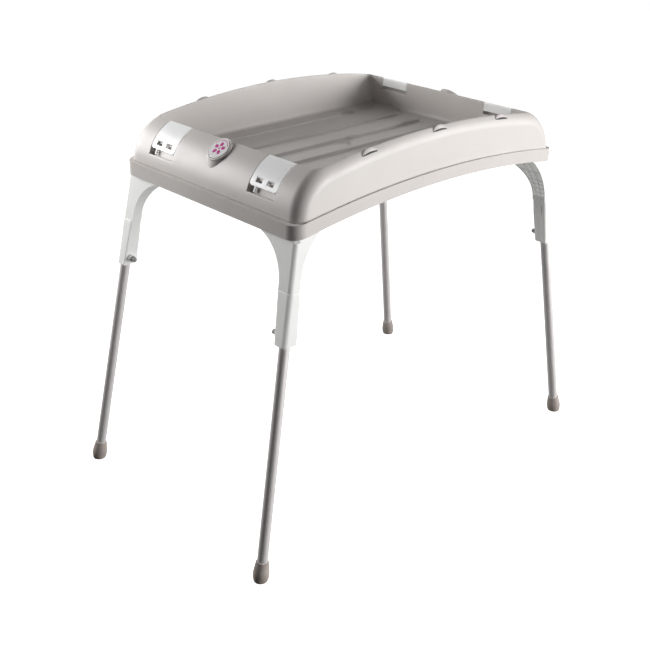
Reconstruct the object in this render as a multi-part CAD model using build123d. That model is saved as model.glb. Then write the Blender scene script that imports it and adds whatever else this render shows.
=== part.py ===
"""Changing table: a moulded tray on four splayed, removable aluminium legs.

Frame: X along the long side, Y across, Z up, origin on the floor under the middle of the table.
Units are millimetres. Ends are named left (-X) and right (+X), sides front (-Y) and back (+Y).
"""
from build123d import *
import os
from math import atan2, cos, degrees, radians, sin, sqrt

# ------------------------------------------------------------------ driving dimensions
WALL = 3.0                    # thickness of every moulded wall

# lower band of the tray (skirt frame), arched along the long sides
BAND_HALF_LENGTH = 399.5
BAND_HALF_WIDTH = 276.0
BAND_CORNER_R = 28.0
BAND_BOTTOM_Z = 696.0         # lower edge at the two ends
BAND_BOTTOM_RISE = 33.2       # how far that edge arches up at mid-length
PARTING_Z = 725.0             # where the tub stands on the band, at the two ends
PARTING_RISE = 30.7
BAND_WALL = 3.2
FLANGE_HALF_LENGTH = 360.0    # opening inside the band's inward flange
FLANGE_HALF_WIDTH = 248.0
CORNER_PLATE_Z = 719.0        # underside of the plates that carry the leg brackets
CORNER_PLATE_X = 296.0        # inner edges of those plates
CORNER_PLATE_Y = 128.0

# tub: round bolsters on the ends, arched side rims
BOLSTER_R = 96.0
BOLSTER_X = 293.6             # centre line of the bolster's round
BOLSTER_Z = 724.6
BOLSTER_TOP_ANGLE = 70.2      # where the bolster's round reaches the basin's end wall
RIM_RISE_Z = 846.0            # top of the side rims at mid-length
SIDE_FOOT_Y = 272.5           # side wall at the parting line
SIDE_HEAD_Y = 267.5           # side wall at the height of the rim
TUB_EDGE_R = 28.0             # rounding of all the outer edges

# basin
FLOOR_Z = 745.0
BASIN_RIM_Z = 870.0           # height at which the upper basin outline is stated
BASIN_FLOOR = (646.0, 480.0)
BASIN_RIM = (658.5, 513.0)
BASIN_CORNER_R = 18.0
FLOOR_EDGE_R = 9.0
GROOVES = ((33.0, 18.0), (105.0, 18.0))      # distance from the centre line, width
GROOVE_LENGTH = 590.0
GROOVE_DEPTH = 1.5
BEAD_Y = 191.0
BEAD_R = 4.0
BEAD_ENDS = (-295.0, 176.0)
CUPS = ((203.0, 204.0), (268.0, 206.0), (12.0, 14.0))
CUP_R = 20.0
CUP_DEPTH = 6.0

# strap hoods on the side rims
HOOD_X = (-198.0, 4.0, 206.0)
HOOD_Y = (251.0, 266.0)       # from its closed back to its mouth
HOOD_R = 27.0
HOOD_HEIGHT = 6.0             # crest above the rim
HOOD_WALL = 2.2

# badge seats
BADGE_ANGLE = 51.3            # slope of the badge's axis above the horizontal
BADGE_CENTRE = (355.0, 803.4)
BADGE_SEAT_R = 28.5
BADGE_FACE_R = 24.0
BADGE_FACE_T = 2.0

# flip latches, two on each end
LATCH_Y = 160.0
LATCH_WIDTH = 77.0
RECESS_WIDTH = 80.5
RECESS_DEPTH = 9.0
RECESS_LOW_ANGLE = 16.6       # lower end of the recess, on the bolster's round
PLATE_LOW_ANGLE = 26.0        # lower lip of the latch plate
PLATE_T = 3.0
WINDOW_OFFSET = 16.0          # two windows, either side of the latch's middle
WINDOW_WIDTH = 19.5
WINDOW_LENGTH = 10.5
WINDOW_ANGLE = 34.0
PIN_X = 334.0
PIN_Z = 803.5
PIN_R = 2.0
PIN_CLEARANCE = 0.06
HINGE_POCKET_R = 18.0
KNUCKLE_R = 6.0
CHEEK_OFFSET = 30.0           # two cheeks carry the latch on its pin
CHEEK_T = 6.0
LATCH_LEG_Z = 794.0           # lower end of the leg that hangs into the basin

# legs
FOOT = Vector(508.0, 300.0, 0.0)            # middle of a foot's sole
EXIT = Vector(417.8, 268.5, 492.0)          # where the tube leaves its bracket
TUBE_R = 11.0
TUBE_WALL = 1.3
TUBE_TOP_Z = 585.0
SOCKET_CLEARANCE = 0.1
FOOT_HEIGHT = 42.0
FOOT_SOLE = 8.0

# leg bracket
BRACKET_TOP_Z = 719.0
BRACKET_PLATE_T = 4.0
FLARE_Z = 600.0               # above this the bracket flares inwards
OUTER_X = (431.5, 393.0)      # outer faces at the lower end and at BAND_BOTTOM_Z
OUTER_Y = (282.5, 270.0)
SLEEVE_X = (399.5, 386.0)     # inner faces at the lower end and at FLARE_Z
SLEEVE_Y = (253.5, 241.0)
FLARE_X = ((365.0, 666.0), (316.0, 713.0))    # a point on each flare's curve, and its end
FLARE_Y = ((223.0, 655.0), (152.0, 696.0))
BRACKET_EDGE_R = 9.0
RIB_T = 2.4
RIB_SHARES = (0.34, 0.67)     # where the upright ribs stand between outer and inner wall
CROSS_RIBS_Z = (607.0, 617.5, 628.0, 638.5, 649.0, 671.0)
SLEEVE_GROOVES_Y = (244.0, 269.5)
BRACKET_SCREWS = ((306.0, 150.0), (306.0, 240.0), (372.0, 140.0))

# lock knob beside each tube
KNOB_Z = 508.0
BARREL_R = 8.5
BARREL_END = 24.0             # distances below are from the tube's axis
NOSE_TIP = 11.5
KNOB_END = 36.0
SPRING_WIRE_R = 0.4
SPRING_R = 4.2
SPRING_SPAN = (15.5, 22.4)
SPRING_TURNS = 4.5

# screws
FRAME_SCREWS = ((130.0, 260.0), (374.0, 80.0))        # one of each four, between band and tub
SCREW_R = 1.8
SCREW_HEAD_R = 3.6
SCREW_HEAD_T = 2.4
SCREW_LENGTH = 14.0
SCREW_HOLE_R = 2.1            # through the piece that the screw clamps

END_ANGLE = radians(BOLSTER_TOP_ANGLE)
RIM_X = BOLSTER_X + BOLSTER_R * cos(END_ANGLE)
RIM_Z = BOLSTER_Z + BOLSTER_R * sin(END_ANGLE)
# the side rims follow a circle that runs on smoothly from the bolsters' rounds
RIM_CREST = RIM_RISE_Z - BOLSTER_Z
RIM_ARCH_R = (BOLSTER_X ** 2 + RIM_CREST ** 2 - BOLSTER_R ** 2) / (2 * (RIM_CREST - BOLSTER_R))
TANGENT_ANGLE = degrees(atan2(RIM_ARCH_R - RIM_CREST, BOLSTER_X))
LEG_AXIS = (EXIT - FOOT).normalized()
STANDING = (Align.CENTER, Align.CENTER, Align.MIN)
CORNERS = {"right_back": (1, 1), "left_back": (-1, 1), "right_front": (1, -1), "left_front": (-1, -1)}


# ------------------------------------------------------------------ small helpers
def arch_z(x, end_x, end_z, rise):
    """Height at x of the circular arch that starts at (end_x, end_z) and rises by rise at x = 0."""
    radius = (end_x ** 2 + rise ** 2) / (2 * rise)
    return end_z + rise - radius + sqrt(radius ** 2 - x ** 2)


def on_bolster(radius, angle):
    """Point in XZ on the left bolster's round, angle in degrees above the horizontal."""
    return Vector(-BOLSTER_X - radius * cos(radians(angle)), 0, BOLSTER_Z + radius * sin(radians(angle)))


def bolster_arc(radius, low, high):
    return ThreePointArc(*[on_bolster(radius, angle) for angle in (low, (low + high) / 2, high)])


def bolster_sector(inner, outer, low, high, width):
    """A stretch of tube wall that follows the left bolster's round, centred on y = 0."""
    edges = [
        bolster_arc(inner, low, high),
        Line(on_bolster(inner, high), on_bolster(outer, high)),
        bolster_arc(outer, low, high),
        Line(on_bolster(outer, low), on_bolster(inner, low)),
    ]
    return extrude(make_face(edges), width / 2, dir=(0, 1, 0), both=True)


def y_cylinder(radius, half_length, x, z):
    return Pos(x, 0, z) * Rot(90, 0, 0) * Cylinder(radius, 2 * half_length)


def turned(profile, start, direction):
    """Solid of revolution: profile is (distance along the axis, radius) points from the axis and back."""
    plane = Plane(origin=start, x_dir=Vector(*direction), z_dir=Vector(*direction).cross(Vector(1, 0, 0)))
    return revolve(plane * make_face(Polyline(*profile, close=True)), Axis(start, direction))


def to_corner(part, sx, sy):
    """Copy a piece made for the right back corner to the corner with these signs."""
    if sx < 0:
        part = mirror(part, Plane.YZ)
    if sy < 0:
        part = mirror(part, Plane.XZ)
    return part


def both_ends(part):
    """A piece made for the left end, and the same piece turned round for the right end."""
    return [part, Rot(0, 0, 180) * part]


# ------------------------------------------------------------------ tray tub
def under_arch(end_z, rise, low_z):
    """Block under an arched line that is end_z high at the ends of the band; it reaches past the tray."""
    reach = BAND_HALF_LENGTH + 40
    reach_z = arch_z(reach, BAND_HALF_LENGTH, end_z, rise)
    edges = [
        ThreePointArc((-reach, 0, reach_z), (0, 0, end_z + rise), (reach, 0, reach_z)),
        Polyline((reach, 0, reach_z), (reach, 0, low_z), (-reach, 0, low_z), (-reach, 0, reach_z)),
    ]
    return extrude(make_face(edges), 2 * BAND_HALF_WIDTH, dir=(0, 1, 0), both=True)


def tub_form(inset, bottom_z):
    """The tub's outer form, moved in by inset, filled right through."""
    radius = BOLSTER_R - inset
    left, right = on_bolster(radius, TANGENT_ANGLE), on_bolster(radius, TANGENT_ANGLE)
    right.X = -right.X
    foot = BOLSTER_X + radius
    end = bolster_arc(radius, 0, TANGENT_ANGLE)
    profile = make_face([
        end,
        ThreePointArc(left, (0, 0, RIM_RISE_Z - inset), right),
        mirror(end, Plane.YZ),
        Polyline((foot, 0, BOLSTER_Z), (foot, 0, bottom_z), (-foot, 0, bottom_z), (-foot, 0, BOLSTER_Z)),
    ])
    along = extrude(profile, BAND_HALF_WIDTH, dir=(0, 1, 0), both=True)
    head, base = SIDE_HEAD_Y - inset, SIDE_FOOT_Y - inset
    slope = (base - head) / (RIM_Z - PARTING_Z)
    low, high = base + slope * (PARTING_Z - bottom_z), head - slope * (BASIN_RIM_Z - RIM_Z)
    section = make_face(Polyline((0, -low, bottom_z), (0, low, bottom_z), (0, high, BASIN_RIM_Z),
                                 (0, -high, BASIN_RIM_Z), close=True))
    across = extrude(section, BAND_HALF_LENGTH, dir=(1, 0, 0), both=True)
    form = along & across
    outer_edges = [e for e in form.edges() if abs(e.center().Y) > high - 5 and e.center().Z > bottom_z + 1]
    return fillet(outer_edges, TUB_EDGE_R - inset)


def basin_form(grow):
    """The basin as a filled block with its sunk cups, grown outwards by grow."""
    outlines = [(FLOOR_Z - grow, BASIN_FLOOR), (BASIN_RIM_Z, BASIN_RIM)]
    faces = [Pos(0, 0, z) * RectangleRounded(length + 2 * grow, width + 2 * grow, BASIN_CORNER_R + grow)
             for z, (length, width) in outlines]
    block = loft(faces)
    floor_edges = block.faces().sort_by(Axis.Z)[0].edges()
    block = fillet(floor_edges, FLOOR_EDGE_R + grow)
    for x, y in CUPS:
        depth = CUP_DEPTH + 10
        block += Pos(x, y, FLOOR_Z - CUP_DEPTH - grow + depth / 2) * Cylinder(CUP_R + grow, depth)
    return block


def latch_recess(grow):
    """Pocket for one latch of the left end, on y = 0, grown by grow into the tub."""
    width = RECESS_WIDTH + 2 * grow
    extra = degrees(grow / BOLSTER_R)
    floor_r = BOLSTER_R - RECESS_DEPTH - grow
    recess = bolster_sector(floor_r, BOLSTER_R + 12, RECESS_LOW_ANGLE - extra, 84, width)
    recess += y_cylinder(HINGE_POCKET_R + grow, width / 2, -PIN_X, PIN_Z)
    mouth_low = PIN_Z - HINGE_POCKET_R - grow
    mouth = Box(30, width, 60, align=(Align.MIN, Align.CENTER, Align.MIN))
    return recess + Pos(-PIN_X, 0, mouth_low) * mouth


def latch_catches():
    """Two hooks on the recess floor that stand up into the latch's windows."""
    hooks = []
    half = degrees(3.0 / BOLSTER_R)
    for side in (-1, 1):
        hook = bolster_sector(BOLSTER_R - RECESS_DEPTH - 1, BOLSTER_R - 1.6, WINDOW_ANGLE - half,
                              WINDOW_ANGLE + half, WINDOW_WIDTH - 6)
        hooks.append(Pos(0, side * WINDOW_OFFSET, 0) * hook)
    return hooks


def badge_plane():
    slope = radians(BADGE_ANGLE)
    return Plane(origin=(-BADGE_CENTRE[0], 0, BADGE_CENTRE[1]), x_dir=(0, 1, 0),
                 z_dir=(-cos(slope), 0, sin(slope)))


def badge_seat():
    top = badge_plane() * Circle(BADGE_SEAT_R)
    base = Plane(origin=(-352, 0, 752)) * Ellipse(30, 36)
    return loft([top, base])


def hood_round(x, radius, y_from, y_to):
    """Round block along Y whose crest stands proud of the rim by as much as its radius tells."""
    crest = RIM_RISE_Z - RIM_ARCH_R + sqrt(RIM_ARCH_R ** 2 - x ** 2) + HOOD_HEIGHT
    return y_cylinder(radius, (y_to - y_from) / 2, x, crest - HOOD_R).move(Pos(0, (y_from + y_to) / 2, 0))


def strap_hood(x):
    """Solid round of one hood on the back rim."""
    return hood_round(x, HOOD_R, *HOOD_Y)


def hood_mouth(x):
    """Hollow of one hood, open towards the outside."""
    back, mouth_y = HOOD_Y
    return hood_round(x, HOOD_R - HOOD_WALL, back + 6, mouth_y + 5)


def screw_sites():
    """Middles of the screws between skirt frame and tub."""
    return [(sx * x, sy * y) for x, y in FRAME_SCREWS for sx, sy in CORNERS.values()]


def tray_tub():
    bolt_bosses = [Pos(x, y, 760) * Cylinder(5.5, 100) for x, y in screw_sites()]
    badges = both_ends(badge_seat())
    outer = tub_form(0, 700) - under_arch(PARTING_Z, PARTING_RISE, 650)
    below_rim = Pos(0, 0, FLOOR_Z) * Box(2 * BAND_HALF_LENGTH, 2 * BAND_HALF_WIDTH, 80)
    hoods, mouths = [[move(x) for x in HOOD_X] for move in (strap_hood, hood_mouth)]
    hoods += [mirror(hood, Plane.XZ) for hood in hoods]
    mouths = Part() + mouths - tub_form(0, 700)
    outer = outer + badges + hoods + (basin_form(WALL) & below_rim)
    cavity = tub_form(WALL, 690) - basin_form(WALL) - bolt_bosses
    latch_places = [Pos(0, y, 0) for y in (-LATCH_Y, LATCH_Y)]
    for place in latch_places:
        cavity -= both_ends(place * latch_recess(WALL))
    tub = outer - cavity - basin_form(0)
    for place in latch_places:
        tub -= both_ends(place * latch_recess(0))
    for place in latch_places:
        for hook in latch_catches():
            tub += both_ends(place * hook)
        pin_hole = y_cylinder(PIN_R, RECESS_WIDTH / 2 + WALL, -PIN_X, PIN_Z)
        tub -= both_ends(place * pin_hole)
    for y, width in GROOVES:
        for side in (-1, 1):
            tub -= Pos(0, side * y, FLOOR_Z) * Box(GROOVE_LENGTH, width, 2 * GROOVE_DEPTH)
    bead_start, bead_end = BEAD_ENDS
    for side in (-1, 1):
        bead = Rot(0, 90, 0) * Cylinder(BEAD_R, bead_end - bead_start)
        bead &= Box(GROOVE_LENGTH, 20, 20, align=(Align.CENTER, Align.CENTER, Align.MIN))
        tub += Pos((bead_start + bead_end) / 2, side * BEAD_Y, FLOOR_Z - 1.5) * bead
    tub -= [mouths, mirror(mouths, Plane.XZ)]
    face_hole = badge_plane() * Pos(0, 0, 4) * Cylinder(BADGE_FACE_R, 10)
    tub -= both_ends(face_hole)
    for x, y in screw_sites():
        tub -= Pos(x, y, 750) * Cylinder(SCREW_R, 60)
    return tub


# ------------------------------------------------------------------ skirt frame
def band_block(inset):
    size = (2 * (BAND_HALF_LENGTH - inset), 2 * (BAND_HALF_WIDTH - inset))
    return Pos(0, 0, 730) * extrude(RectangleRounded(*size, BAND_CORNER_R - inset), 80, both=True)


def skirt_frame():
    below_parting = under_arch(PARTING_Z, PARTING_RISE, 640)
    below_flange = under_arch(PARTING_Z - WALL, PARTING_RISE, 630)
    below_edge = under_arch(BAND_BOTTOM_Z, BAND_BOTTOM_RISE, 620)
    frame = (band_block(0) & below_parting) - below_edge
    frame -= band_block(BAND_WALL) & below_flange
    frame -= Pos(0, 0, 730) * Box(2 * FLANGE_HALF_LENGTH, 2 * FLANGE_HALF_WIDTH, 200)
    reach_x, reach_y = BAND_HALF_LENGTH - BAND_WALL, BAND_HALF_WIDTH - BAND_WALL
    plate = Pos(CORNER_PLATE_X, CORNER_PLATE_Y, CORNER_PLATE_Z) * Box(
        reach_x - CORNER_PLATE_X, reach_y - CORNER_PLATE_Y, WALL, align=(Align.MIN,) * 3)
    plate = plate & band_block(BAND_WALL)
    for x, y in BRACKET_SCREWS:
        plate += Pos(x, y, CORNER_PLATE_Z + 6) * Cylinder(4.5, 12)
    for sx, sy in CORNERS.values():
        frame += to_corner(plate, sx, sy)
        for x, y in BRACKET_SCREWS:
            frame -= Pos(sx * x, sy * y, CORNER_PLATE_Z + 5) * Cylinder(SCREW_R, 10)
    for x, y in screw_sites():
        frame -= Pos(x, y, 730) * Cylinder(SCREW_HOLE_R, 60)
    return frame


# ------------------------------------------------------------------ leg brackets, right back corner
def slope_at(z, ends, high_z=BAND_BOTTOM_Z):
    low, high = ends
    return low + (high - low) * (z - EXIT.Z) / (high_z - EXIT.Z)


def bracket_outline(outer, sleeve, flare, from_outer, from_inner, top_z):
    """Closed outline (distance, z) of a bracket seen along X or Y, its walls moved in by the two amounts."""
    point, end = flare
    low_z = EXIT.Z
    inner = [(sleeve[0] + from_inner, low_z), (sleeve[1] + from_inner, FLARE_Z)]
    turn = (point[0] + from_inner * 0.8, point[1] + from_inner * 0.6)
    finish = (end[0], end[1] + from_inner)
    outer_top = slope_at(top_z, outer) - from_outer
    outer_low = outer[0] - from_outer
    return inner, turn, finish, (end[0], top_z), (outer_top, top_z), (outer_low, low_z)


def bracket_slab(outer, sleeve, flare, from_outer, from_inner, top_z, along_x):
    """Bracket outline extruded along the other horizontal axis."""
    def place(point):
        return Vector(0, point[0], point[1]) if along_x else Vector(point[0], 0, point[1])
    inner, turn, finish, corner, outer_top, outer_low = bracket_outline(
        outer, sleeve, flare, from_outer, from_inner, top_z)
    edges = [
        Line(place(inner[0]), place(inner[1])),
        ThreePointArc(place(inner[1]), place(turn), place(finish)),
        Polyline(place(finish), place(corner), place(outer_top), place(outer_low), place(inner[0])),
    ]
    direction = (1, 0, 0) if along_x else (0, 1, 0)
    return extrude(make_face(edges), 500, dir=direction)


def bracket_rib(share):
    """Upright rib that follows the flare, share of the way from the outer wall to the inner one."""
    def rib_y(z, inner_y):
        outer_y = slope_at(z, OUTER_Y)
        return outer_y + share * (inner_y - outer_y)
    low = (rib_y(EXIT.Z, SLEEVE_Y[0]), EXIT.Z)
    knee = (rib_y(FLARE_Z, SLEEVE_Y[1]), FLARE_Z)
    turn = (rib_y(FLARE_Y[0][1], FLARE_Y[0][0]), FLARE_Y[0][1])
    top = (rib_y(BRACKET_TOP_Z, 190), BRACKET_TOP_Z)
    edges = []
    for shift in (-RIB_T / 2, RIB_T / 2):
        a, b, c, d = [Vector(0, y + shift, z) for y, z in (low, knee, turn, top)]
        edges += [Line(a, b), ThreePointArc(b, c, d)]
        edges.append(Line(d, d - Vector(0, shift, 0)))
        edges.append(Line(a, a - Vector(0, shift, 0)))
    return extrude(make_face(edges), 500, dir=(1, 0, 0))


def lock_origin():
    point = EXIT + LEG_AXIS * ((KNOB_Z - EXIT.Z) / LEG_AXIS.Z)
    return Vector(point.X, point.Y, point.Z)


def bracket_core(from_outer, from_inner_x, from_inner_y, top_z):
    return (bracket_slab(OUTER_X, SLEEVE_X, FLARE_X, from_outer, from_inner_x, top_z, False)
            & bracket_slab(OUTER_Y, SLEEVE_Y, FLARE_Y, from_outer, from_inner_y, top_z, True))


def leg_bracket():
    core = bracket_core(0, 0, 0, BRACKET_TOP_Z)
    corner_edge = [e for e in core.edges()
                   if abs(e.center().X - slope_at(e.center().Z, OUTER_X)) < 0.5
                   and abs(e.center().Y - slope_at(e.center().Z, OUTER_Y)) < 0.5]
    core = fillet(corner_edge, BRACKET_EDGE_R)
    pockets = bracket_core(WALL, -6, WALL, BRACKET_TOP_Z - BRACKET_PLATE_T)
    pockets &= Pos(400, 200, CROSS_RIBS_Z[0]) * Box(400, 400, 300, align=STANDING)
    for share in RIB_SHARES:
        pockets -= bracket_rib(share)
    for z in CROSS_RIBS_Z:
        pockets -= Pos(400, 200, z) * Box(400, 400, RIB_T)
    plate = Pos(CORNER_PLATE_X, CORNER_PLATE_Y, BRACKET_TOP_Z - BRACKET_PLATE_T) * Box(
        392 - CORNER_PLATE_X, 269 - CORNER_PLATE_Y, BRACKET_PLATE_T, align=(Align.MIN,) * 3)
    plate = fillet(plate.edges().filter_by(Axis.Z).group_by(Axis.X)[-1], 12)
    bracket = core - pockets + plate
    inside_band = band_block(BAND_WALL + 0.2)
    bracket -= Pos(380, 260, BAND_BOTTOM_Z + 20) * Box(100, 100, 50) - inside_band
    for groove_y in SLEEVE_GROOVES_Y:
        bracket -= Pos(SLEEVE_X[1] + 6, groove_y, 548) * Rot(3.4, -7.6, 0) * Box(8, 4.5, 96)
    origin = lock_origin()
    barrel = Pos(origin.X, origin.Y - (12 + BARREL_END) / 2, origin.Z) * Rot(90, 0, 0) * Cylinder(
        BARREL_R, BARREL_END - 12)
    bracket += fillet(barrel.edges().group_by(Axis.Y)[0], 1)
    socket_length = (TUBE_TOP_Z + 0.3 - EXIT.Z) / LEG_AXIS.Z + 30
    socket_plane = Plane(origin=EXIT - LEG_AXIS * 30, z_dir=LEG_AXIS)
    bracket -= socket_plane * Cylinder(TUBE_R + SOCKET_CLEARANCE, socket_length, align=STANDING)
    bore = [(9, 0), (9, 2.6), (13.8, 2.6), (13.8, 5.3), (22.5, 5.3), (22.5, 2.6), (25, 2.6), (25, 0)]
    bracket -= turned(bore, origin, (0, -1, 0))
    for side in (-1, 1):
        bracket -= Pos(origin.X + side * 9.8 - 3, origin.Y - 13.5, origin.Z + 24) * Rot(
            0, -10.4, 0) * Box(1.4, 4, 30)
    for x, y in BRACKET_SCREWS:
        bracket -= Pos(x, y, BRACKET_TOP_Z) * Cylinder(SCREW_HOLE_R, 12)
    return bracket


# ------------------------------------------------------------------ tubes, feet and lock knobs
def leg_tube():
    length = TUBE_TOP_Z / LEG_AXIS.Z - FOOT_SOLE
    plane = Plane(origin=FOOT + LEG_AXIS * FOOT_SOLE, z_dir=LEG_AXIS)
    rod, bore = [Cylinder(radius, length, align=STANDING) for radius in (TUBE_R, TUBE_R - TUBE_WALL)]
    tube = plane * (rod - bore)
    origin = lock_origin()
    return tube - Pos(origin.X, origin.Y - 15, origin.Z) * Rot(90, 0, 0) * Cylinder(3, 20)


def foot():
    plane = Plane(origin=FOOT, z_dir=LEG_AXIS)
    profile = Plane(origin=FOOT, x_dir=LEG_AXIS.cross(Vector(0, 1, 0)).normalized(),
                    z_dir=LEG_AXIS.cross(LEG_AXIS.cross(Vector(0, 1, 0))).normalized())
    outline = make_face([
        Line((0, -5), (12.5, -5)),
        Spline((12.5, -5), (16.4, 8), (16.9, 16), (15.2, 30), (13.2, FOOT_HEIGHT)),
        Polyline((13.2, FOOT_HEIGHT), (0, FOOT_HEIGHT), (0, -5)),
    ])
    up = profile.y_dir.dot(LEG_AXIS)
    face = profile * (outline if up > 0 else mirror(outline, Plane.XZ))
    body = revolve(face, Axis(FOOT, LEG_AXIS))
    body -= plane * Pos(0, 0, FOOT_SOLE) * Cylinder(TUBE_R, 60, align=STANDING)
    return body & Pos(FOOT.X, FOOT.Y, 50) * Box(100, 100, 100)


def lock_knob():
    nose = [(NOSE_TIP, 0), (NOSE_TIP, 1.8), (NOSE_TIP + 0.7, 2.5)]
    collar = [(14, 2.5), (14, 5), (15.4, 5), (15.4, 2.5)]
    grip = [(24.4, 2.5), (24.4, 6.2), (27, 6.2), (28.5, 5.2), (33.5, 5.2), (35.2, 4.2)]
    return turned(nose + collar + grip + [(KNOB_END, 2.4), (KNOB_END, 0)], lock_origin(), (0, -1, 0))


def lock_spring():
    start, end = SPRING_SPAN
    height = end - start - 2 * SPRING_WIRE_R
    path = Helix(pitch=height / SPRING_TURNS, height=height, radius=SPRING_R)
    section = Plane(origin=path @ 0, z_dir=path % 0) * Circle(SPRING_WIRE_R)
    coil = sweep(section, path=path, is_frenet=True)
    origin = lock_origin()
    return Pos(origin.X, origin.Y - start - SPRING_WIRE_R, origin.Z) * Rot(90, 0, 0) * coil


# ------------------------------------------------------------------ latches
def latch():
    """Flip latch of the left end, on y = 0, with its small finger leg towards +Y."""
    inner_r = BOLSTER_R - PLATE_T
    plate = bolster_sector(inner_r, BOLSTER_R, PLATE_LOW_ANGLE, BOLSTER_TOP_ANGLE, LATCH_WIDTH)
    lip = [(-1.5, RIM_Z - 3.5), (-1, RIM_Z - 0.4), (0, RIM_Z), (1.2, LATCH_LEG_Z), (-1.8, LATCH_LEG_Z),
           (-3, RIM_Z - 6), (-6, RIM_Z - 4.6)]
    lip = make_face(Polyline(*[(x - RIM_X, 0, z) for x, z in lip], close=True))
    body = plate + extrude(lip, LATCH_WIDTH / 2, dir=(0, 1, 0), both=True)
    half = degrees(WINDOW_LENGTH / 2 / BOLSTER_R)
    for side in (-1, 1):
        window = bolster_sector(inner_r - 2, BOLSTER_R + 2, WINDOW_ANGLE - half, WINDOW_ANGLE + half,
                                WINDOW_WIDTH)
        body -= Pos(0, side * WINDOW_OFFSET, 0) * window
        cheek = y_cylinder(KNUCKLE_R, CHEEK_T / 2, -PIN_X, PIN_Z)
        inner_x = -PIN_X + KNUCKLE_R
        web = make_face(Polyline((inner_x, 0, PIN_Z), (inner_x, 0, PIN_Z + 6), (-PIN_X + 2, 0, RIM_Z - 4.5),
                                 on_bolster(inner_r + 0.5, 58), (-PIN_X - KNUCKLE_R, 0, PIN_Z), close=True))
        cheek += extrude(web, CHEEK_T / 2, dir=(0, 1, 0), both=True)
        body += Pos(0, side * CHEEK_OFFSET, 0) * cheek
    body -= y_cylinder(PIN_R + PIN_CLEARANCE, 50, -PIN_X, PIN_Z)
    finger = bolster_sector(inner_r - 4, inner_r, 19, 32, 2.6)
    return body + Pos(0, 23, 0) * finger


def latch_pin():
    return y_cylinder(PIN_R, RECESS_WIDTH / 2 + WALL, -PIN_X, PIN_Z)


# ------------------------------------------------------------------ badges and screws
def badge_face():
    disc = Cylinder(BADGE_FACE_R, BADGE_FACE_T, align=STANDING)
    disc = fillet(disc.edges().group_by(Axis.Z)[-1], 0.8)
    return badge_plane() * Pos(0, 0, -1) * disc


def screw(x, y, head_z):
    """Pan-head screw driven upwards, with head_z the seat of its head."""
    head = Pos(x, y, head_z - SCREW_HEAD_T / 2) * Cylinder(SCREW_HEAD_R, SCREW_HEAD_T)
    slot = Pos(x, y, head_z - SCREW_HEAD_T) * Box(5, 0.9, 1.6)
    return head - slot + Pos(x, y, head_z + SCREW_LENGTH / 2) * Cylinder(SCREW_R, SCREW_LENGTH)


def frame_screws():
    screws = []
    for x, y in screw_sites():
        lowest = arch_z(abs(x) + SCREW_HEAD_R, BAND_HALF_LENGTH, PARTING_Z, PARTING_RISE)
        screws.append(screw(x, y, lowest - WALL - 0.05))
    return Compound(children=screws)


def bracket_screws():
    screws = []
    for sx, sy in CORNERS.values():
        for x, y in BRACKET_SCREWS:
            screws.append(screw(sx * x, sy * y, BRACKET_TOP_Z - BRACKET_PLATE_T))
    return Compound(children=screws)


# ------------------------------------------------------------------ all nodes
def build():
    nodes = {"tray_tub": tray_tub(), "skirt_frame": skirt_frame()}
    makers = {"leg_bracket": leg_bracket, "leg_tube": leg_tube, "foot": foot,
              "lock_knob": lock_knob, "lock_spring": lock_spring}
    for kind, make in makers.items():
        piece = make()
        for corner, (sx, sy) in CORNERS.items():
            nodes[f"{kind}_{corner}"] = to_corner(piece, sx, sy)
    for kind, make in {"latch": latch, "latch_pin": latch_pin}.items():
        piece = make()
        for side, y in {"front": -LATCH_Y, "back": LATCH_Y}.items():
            nodes[f"{kind}_left_{side}"] = Pos(0, y, 0) * piece
            nodes[f"{kind}_right_{side}"] = Rot(0, 0, 180) * Pos(0, -y, 0) * piece
    nodes["badge_left"], nodes["badge_right"] = both_ends(badge_face())
    nodes["frame_screws"] = frame_screws()
    nodes["bracket_screws"] = bracket_screws()
    return nodes


os.makedirs("parts", exist_ok=True)
for name, part in build().items():
    export_step(part, f"parts/{name}.step")
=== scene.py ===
import math

import bmesh
import bpy
import numpy as np
from mathutils import Matrix, Vector


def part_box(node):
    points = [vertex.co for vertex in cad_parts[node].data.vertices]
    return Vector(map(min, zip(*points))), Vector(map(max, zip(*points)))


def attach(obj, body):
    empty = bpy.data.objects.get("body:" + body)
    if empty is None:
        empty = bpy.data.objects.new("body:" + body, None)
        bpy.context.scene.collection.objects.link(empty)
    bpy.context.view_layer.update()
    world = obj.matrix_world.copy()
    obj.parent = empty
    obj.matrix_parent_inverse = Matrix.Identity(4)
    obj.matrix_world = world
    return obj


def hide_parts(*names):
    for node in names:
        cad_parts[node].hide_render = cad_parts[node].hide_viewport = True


# Changing table: fine shapes, finishes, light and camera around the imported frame.
# Shapes are worked out in millimetres and scaled to metres as each mesh is made.
# The left end is -X, the front is -Y, and Z = 0 is the floor.

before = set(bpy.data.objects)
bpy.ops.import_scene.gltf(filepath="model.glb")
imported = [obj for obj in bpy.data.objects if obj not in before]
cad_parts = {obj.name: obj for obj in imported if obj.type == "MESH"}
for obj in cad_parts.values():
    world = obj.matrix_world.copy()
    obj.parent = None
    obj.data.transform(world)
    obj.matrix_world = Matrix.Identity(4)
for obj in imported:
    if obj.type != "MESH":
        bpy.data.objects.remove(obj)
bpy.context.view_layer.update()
MM = 0.001


def box_mm(node):
    low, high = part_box(node)
    return np.array(low) / MM, np.array(high) / MM


# ------------------------------------------------------------------ sizes taken from the frame
BAND_HALF = box_mm("skirt_frame")[1][:2]          # half length and half width of the lower band
TUB_FOOT_X = box_mm("tray_tub")[1][0]             # where the tub's round ends stand on the band
PIN_X, LATCH_Y, PIN_Z = np.abs(sum(box_mm("latch_pin_left_front")) / 2)

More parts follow.
